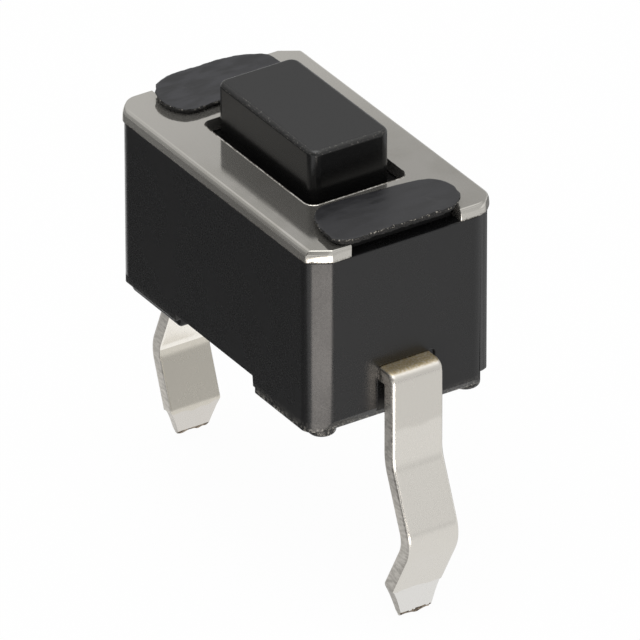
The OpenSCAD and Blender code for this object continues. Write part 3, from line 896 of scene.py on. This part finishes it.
def makeCentreTerminal(s):
    # The far lead, and the strip that ends in the raised spot under the dome.
    piece = makeLead(s, -1, s["farLean"], s["farEnd"])
    low, high = s["stripTop"] - s["thickness"], s["stripTop"]
    half = s["width"] / 2 - 0.002
    wide, flat, rise = s["contact"]
    strip = box((-s["root"] - 0.1, wide), (-half, half), (low + 0.002, high - 0.002))
    combine(piece, strip, "UNION")
    angle = np.linspace(0, 2 * math.pi, 32, endpoint=False)
    circle = np.stack([np.cos(angle), np.sin(angle)], 1)
    rings = np.stack([wide * circle, wide * circle, flat * circle]) * 0.98
    spot = shell("spot", stacked(rings, [high - 0.1, high - 0.01, high + rise]))
    combine(piece, spot, "UNION")
    return piece


def leadFaces(middle, normal):
    # 1 for the sheared sides, 2 for the torn end, 3 for the inner side below the knee, which gets the
    # darker tin as painted shade.
    inner = (normal[:, 0] * np.sign(middle[:, 0]) < -0.5) & (middle[:, 2] < lead["paintedShadeBelow"])
    number = np.where(inner, 3, np.abs(normal[:, 1]) > 0.8)
    return np.where((normal[:, 2] < -0.35) & (middle[:, 2] < lead["tornBelow"]), 2, number)


leadFinish = [leadTin, shearedTin, tornBrass, paintedShadeTin]
outer, centre = makeOuterTerminal(lead), makeCentreTerminal(lead)
finishPiece(outer, "outerTerminal", leadFinish, "base", ["outer_terminal"])
finishPiece(centre, "centreTerminal", leadFinish, "base", ["centre_terminal"])
paintFaces(outer, leadFaces)
paintFaces(centre, leadFaces)


dome = {
    "radius": 1.5, "width": 2.1, "thickness": 0.07, "land": 0.08, "rise": 0.3, "seat": 1.06,
    "travel": 0.25,
}


def makeDome(s):
    # A round disc with two straight sides, under one sphere and over another a thickness below:
    # height = centre + square root of (R squared - r squared), and flat on its seat at the rim.
    limit = math.asin(s["width"] / 2 / s["radius"])
    turn = np.linspace(-limit, limit, 17)
    arc = s["radius"] * np.stack([np.cos(turn), np.sin(turn)], 1)
    along = np.linspace(arc[-1, 0], -arc[-1, 0], 14)[1:-1]
    line = np.stack([along, np.full(len(along), s["width"] / 2)], 1)
    outline = np.concatenate([arc, line, -arc, -line])
    inner = ((s["radius"] - s["land"]) ** 2 + s["rise"] ** 2) / (2 * s["rise"])
    centre = s["seat"] + s["rise"] - inner
    rings = np.linspace(0.04, 1, 24)[:, None, None] * outline
    apart = (rings**2).sum(2)
    under = np.maximum(centre + np.sqrt(inner**2 - apart), s["seat"])
    over = centre + np.sqrt((inner + s["thickness"]) ** 2 - apart)
    places = np.concatenate([rings, rings[::-1]])
    heights = np.concatenate([under, over[::-1]])
    piece = shell("dome", np.concatenate([places, heights[:, :, None]], 2))
    faceOut(piece.data)
    return piece


spring = finishPiece(makeDome(dome), "snapDome", [springSteel()], "base", ["snap_dome"])
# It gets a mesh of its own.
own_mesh(spring)


camera = {
    "place": (169.960, -108.849, 118.238), "azimuth": 57.295, "elevation": 30.301, "roll": -0.0956,
    "lens": 815.58, "sensor": 36.0,
}


def makeCamera(s):
    # Azimuth and elevation give the view, and the roll turns it about its own line.
    a, e, r = (math.radians(s[k]) for k in ("azimuth", "elevation", "roll"))
    back = Vector((math.sin(a) * math.cos(e), -math.cos(a) * math.cos(e), math.sin(e)))
    level = Vector((math.cos(a), math.sin(a), 0))
    upright = back.cross(level)
    right = math.cos(r) * level + math.sin(r) * upright
    up = -math.sin(r) * level + math.cos(r) * upright
    data = bpy.data.cameras.new("camera")
    data.lens, data.sensor_width = s["lens"], s["sensor"]
    data.clip_start, data.clip_end = 0.01, 10
    made = bpy.data.objects.new("camera", data)
    turn = Matrix((right, up, back)).transposed().to_4x4()
    made.matrix_world = Matrix.Translation(Vector(s["place"]) * millimetre) @ turn
    scene.collection.objects.link(made)
    scene.camera = made


# What the object mirrors: a pale tent that brightens upwards, a dark card beside its long side,
# a grey one behind its end, and a low strip lamp that lights the cut corner.
studio = {
    "floorWidth": 2.0, "floor": "#f2f2f2", "floorGlow": 0.97, "worldStrength": 0.55,
    "soft": {
        "at": (25, -25, 150), "towards": (0, 0, 0), "along": (1, 1, 0), "size": (120, 120),
        "power": 0.13,
    },
    "front": {
        "at": (15.8, -7.35, -2.6), "towards": (15.8, -7.35, 10), "along": (0.914, -0.407, 0),
        "size": (6.4, 22), "power": 0.00143, "colour": "#fff6ee", "shape": "ELLIPSE",
    },
    "cards": {
        "darkCard": {"x": (-60, 0), "y": (-60, -3), "glow": 0.13},
        "frontCard": {"x": (0, 5), "y": (-60, -4.5), "glow": 0.2},
        "greyCard": {"x": (2, 22), "y": (-4, 20), "glow": 0.71},
        "farCard": {"x": (22, 86), "y": (-20, 86), "glow": 0.6},
        "backCard": {"x": (-14, 2), "y": (4.5, 24), "glow": 0.28},
    },
    "tent": {
        "radius": 90, "height": 85, "panels": 64, "glow": 0.6,
        # Between which heights the glow changes, and by how much.
        "low": (9, 5, -0.14), "middle": (32, 14, 0.1), "high": (70, 85, 0.15),
        # The direction, the distances along it and the share of light lost.
        "shade": ((-0.8, -0.6, 0), 40, 85, 0.55), "shadeBelow": (20, 45),
        "camera": ((0.375, -0.927, 0), 72, 84, 0.75),
    },
}


def seenRays(tree):
    # 1 for the rays that show the white background: straight, mirrored or through glass.
    rays = addNode(tree, "LightPath").node.outputs
    mirrored = addNode(
        tree, "Math", (rays["Is Glossy Ray"], rays["Is Transmission Ray"]), operation="MAXIMUM"
    )
    return addNode(tree, "Math", (rays["Is Camera Ray"], mirrored), operation="MAXIMUM")


def makeFloor(s):
    # Pale paper under the lead tips that is white to the rays that see it.
    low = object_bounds()[0].z
    half = s["floorWidth"] / 2
    mesh = bpy.data.meshes.new("floor")
    corners = [(-half, -half, low), (half, -half, low), (half, half, low), (-half, half, low)]
    mesh.from_pydata(corners, [], [(0, 1, 2, 3)])
    floor = bpy.data.objects.new("floor", mesh)
    scene.collection.objects.link(floor)
    material = bpy.data.materials.new("palePaper")
    material.use_nodes = True
    tree = material.node_tree
    tree.nodes.clear()
    paper = addNode(tree, "BsdfDiffuse", {"Color": s["floor"]})
    white = addNode(tree, "Emission", {"Color": "#ffffff", "Strength": 1.0})
    share = addNode(tree, "Math", (seenRays(tree), s["floorGlow"]), operation="MULTIPLY")
    mixed = addNode(tree, "MixShader", (share, paper, white))
    addNode(tree, "OutputMaterial", {"Surface": mixed})
    mesh.materials.append(material)
    floor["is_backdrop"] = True
    return low


def makeWorld(s):
    # White where it is seen, and a plain level of light everywhere else.
    world = bpy.data.worlds.new("softWhiteRoom")
    world.use_nodes = True
    tree = world.node_tree
    tree.nodes.clear()
    strength = addNode(
        tree, "MapRange", (seenRays(tree), 0, 1, s["worldStrength"], 1.0), interpolation_type="LINEAR"
    )
    room = addNode(tree, "Background", {"Color": "#ffffff", "Strength": strength})
    addNode(tree, "OutputWorld", {"Surface": room})
    scene.world = world


def mirroredOnly(name, corners, faces, glow):
    # A plain luminous surface that the object mirrors, and that neither camera nor floor sees.
    mesh = bpy.data.meshes.new(name)
    mesh.from_pydata((np.asarray(corners, float) * millimetre).tolist(), [], faces)
    made = bpy.data.objects.new(name, mesh)
    scene.collection.objects.link(made)
    material = bpy.data.materials.new(name)
    material.use_nodes = True
    tree = material.node_tree
    tree.nodes.clear()
    if callable(glow):
        glow = glow(tree, addNode(tree, "TexCoord", output="Object"))
    light = addNode(tree, "Emission", {"Color": "#ffffff", "Strength": glow})
    addNode(tree, "OutputMaterial", {"Surface": light})
    mesh.materials.append(material)
    made.visible_camera = made.visible_diffuse = made.visible_shadow = made.visible_transmission = False
    made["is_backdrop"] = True


def makeTent(s, low):
    # An open cylinder of flat panels, from the floor up.
    count = s["panels"]
    angle = np.linspace(0, 2 * math.pi, count, endpoint=False)
    ring = s["radius"] * np.stack([np.cos(angle), np.sin(angle)], 1)
    rings = stacked(np.stack([ring, ring]), [low, s["height"]])
    here = np.arange(count)
    after = np.roll(here, -1)
    faces = np.stack([here, after, after + count, here + count], 1)

    def sideways(tree, place, direction, start, end, low=0.0, high=1.0):
        # The distance along a level direction, from low at its start to high at its end.
        along = addNode(tree, "VectorMath", (place, direction), operation="DOT_PRODUCT")
        return addNode(tree, "MapRange", (along, start * millimetre, end * millimetre, low, high))

    def glow(tree, place):
        # Brighter near the floor and towards the top, shaded at the front left and beside the camera.
        total = s["glow"]
        for start, end, amount in (s["low"], s["middle"], s["high"]):
            rise = above(tree, place, min(start, end), max(start, end))
            rise = rise if end > start else addNode(tree, "Math", (1.0, rise), operation="SUBTRACT")
            rise = addNode(tree, "Math", (rise, amount), operation="MULTIPLY")
            total = addNode(tree, "Math", (total, rise), operation="ADD")
        direction, start, end, amount = s["shade"]
        front = sideways(tree, place, direction, start, end)
        under = addNode(tree, "Math", (1.0, above(tree, place, *s["shadeBelow"])), operation="SUBTRACT")
        shade = addNode(tree, "Math", (front, under), operation="MULTIPLY")
        shade = addNode(tree, "Math", (shade, amount), operation="MULTIPLY")
        left = addNode(tree, "Math", (1.0, shade), operation="SUBTRACT")
        total = addNode(tree, "Math", (total, left), operation="MULTIPLY")
        direction, start, end, amount = s["camera"]
        room = sideways(tree, place, direction, start, end, 0.0, amount)
        left = addNode(tree, "Math", (1.0, room), operation="SUBTRACT")
        return addNode(tree, "Math", (total, left), operation="MULTIPLY")

    mirroredOnly("tent", rings.reshape(-1, 3), faces.tolist(), glow)


def makeCard(name, s, low):
    # A level card just above the floor.
    (x0, x1), (y0, y1) = s["x"], s["y"]
    z = low + 0.05
    corners = [(x0, y0, z), (x1, y0, z), (x1, y1, z), (x0, y1, z)]
    mirroredOnly(name, corners, [(0, 1, 2, 3)], s["glow"])


def makeLamp(name, s):
    # A flat lamp whose longer side lies along the given direction and that shines at its target.
    data = bpy.data.lights.new(name, "AREA")
    data.shape = s.get("shape", "RECTANGLE")
    data.size, data.size_y = (v * millimetre for v in s["size"])
    data.energy = s["power"]
    data.color = hexColour(s.get("colour", "#ffffff"))[:3]
    place, target, along = (Vector(s[k]) for k in ("at", "towards", "along"))
    back = (place - target).normalized()
    across = along.cross(back).normalized()
    made = bpy.data.objects.new(name, data)
    turn = Matrix((across, back.cross(across), back)).transposed().to_4x4()
    made.matrix_world = Matrix.Translation(place * millimetre) @ turn
    made.visible_camera = False
    scene.collection.objects.link(made)


makeCamera(camera)
floorLevel = makeFloor(studio) / millimetre
makeWorld(studio)
makeTent(studio["tent"], floorLevel)
for name, card in studio["cards"].items():
    makeCard(name, card, floorLevel)
makeLamp("softBox", studio["soft"])
makeLamp("frontStrip", studio["front"])
print("studio made")
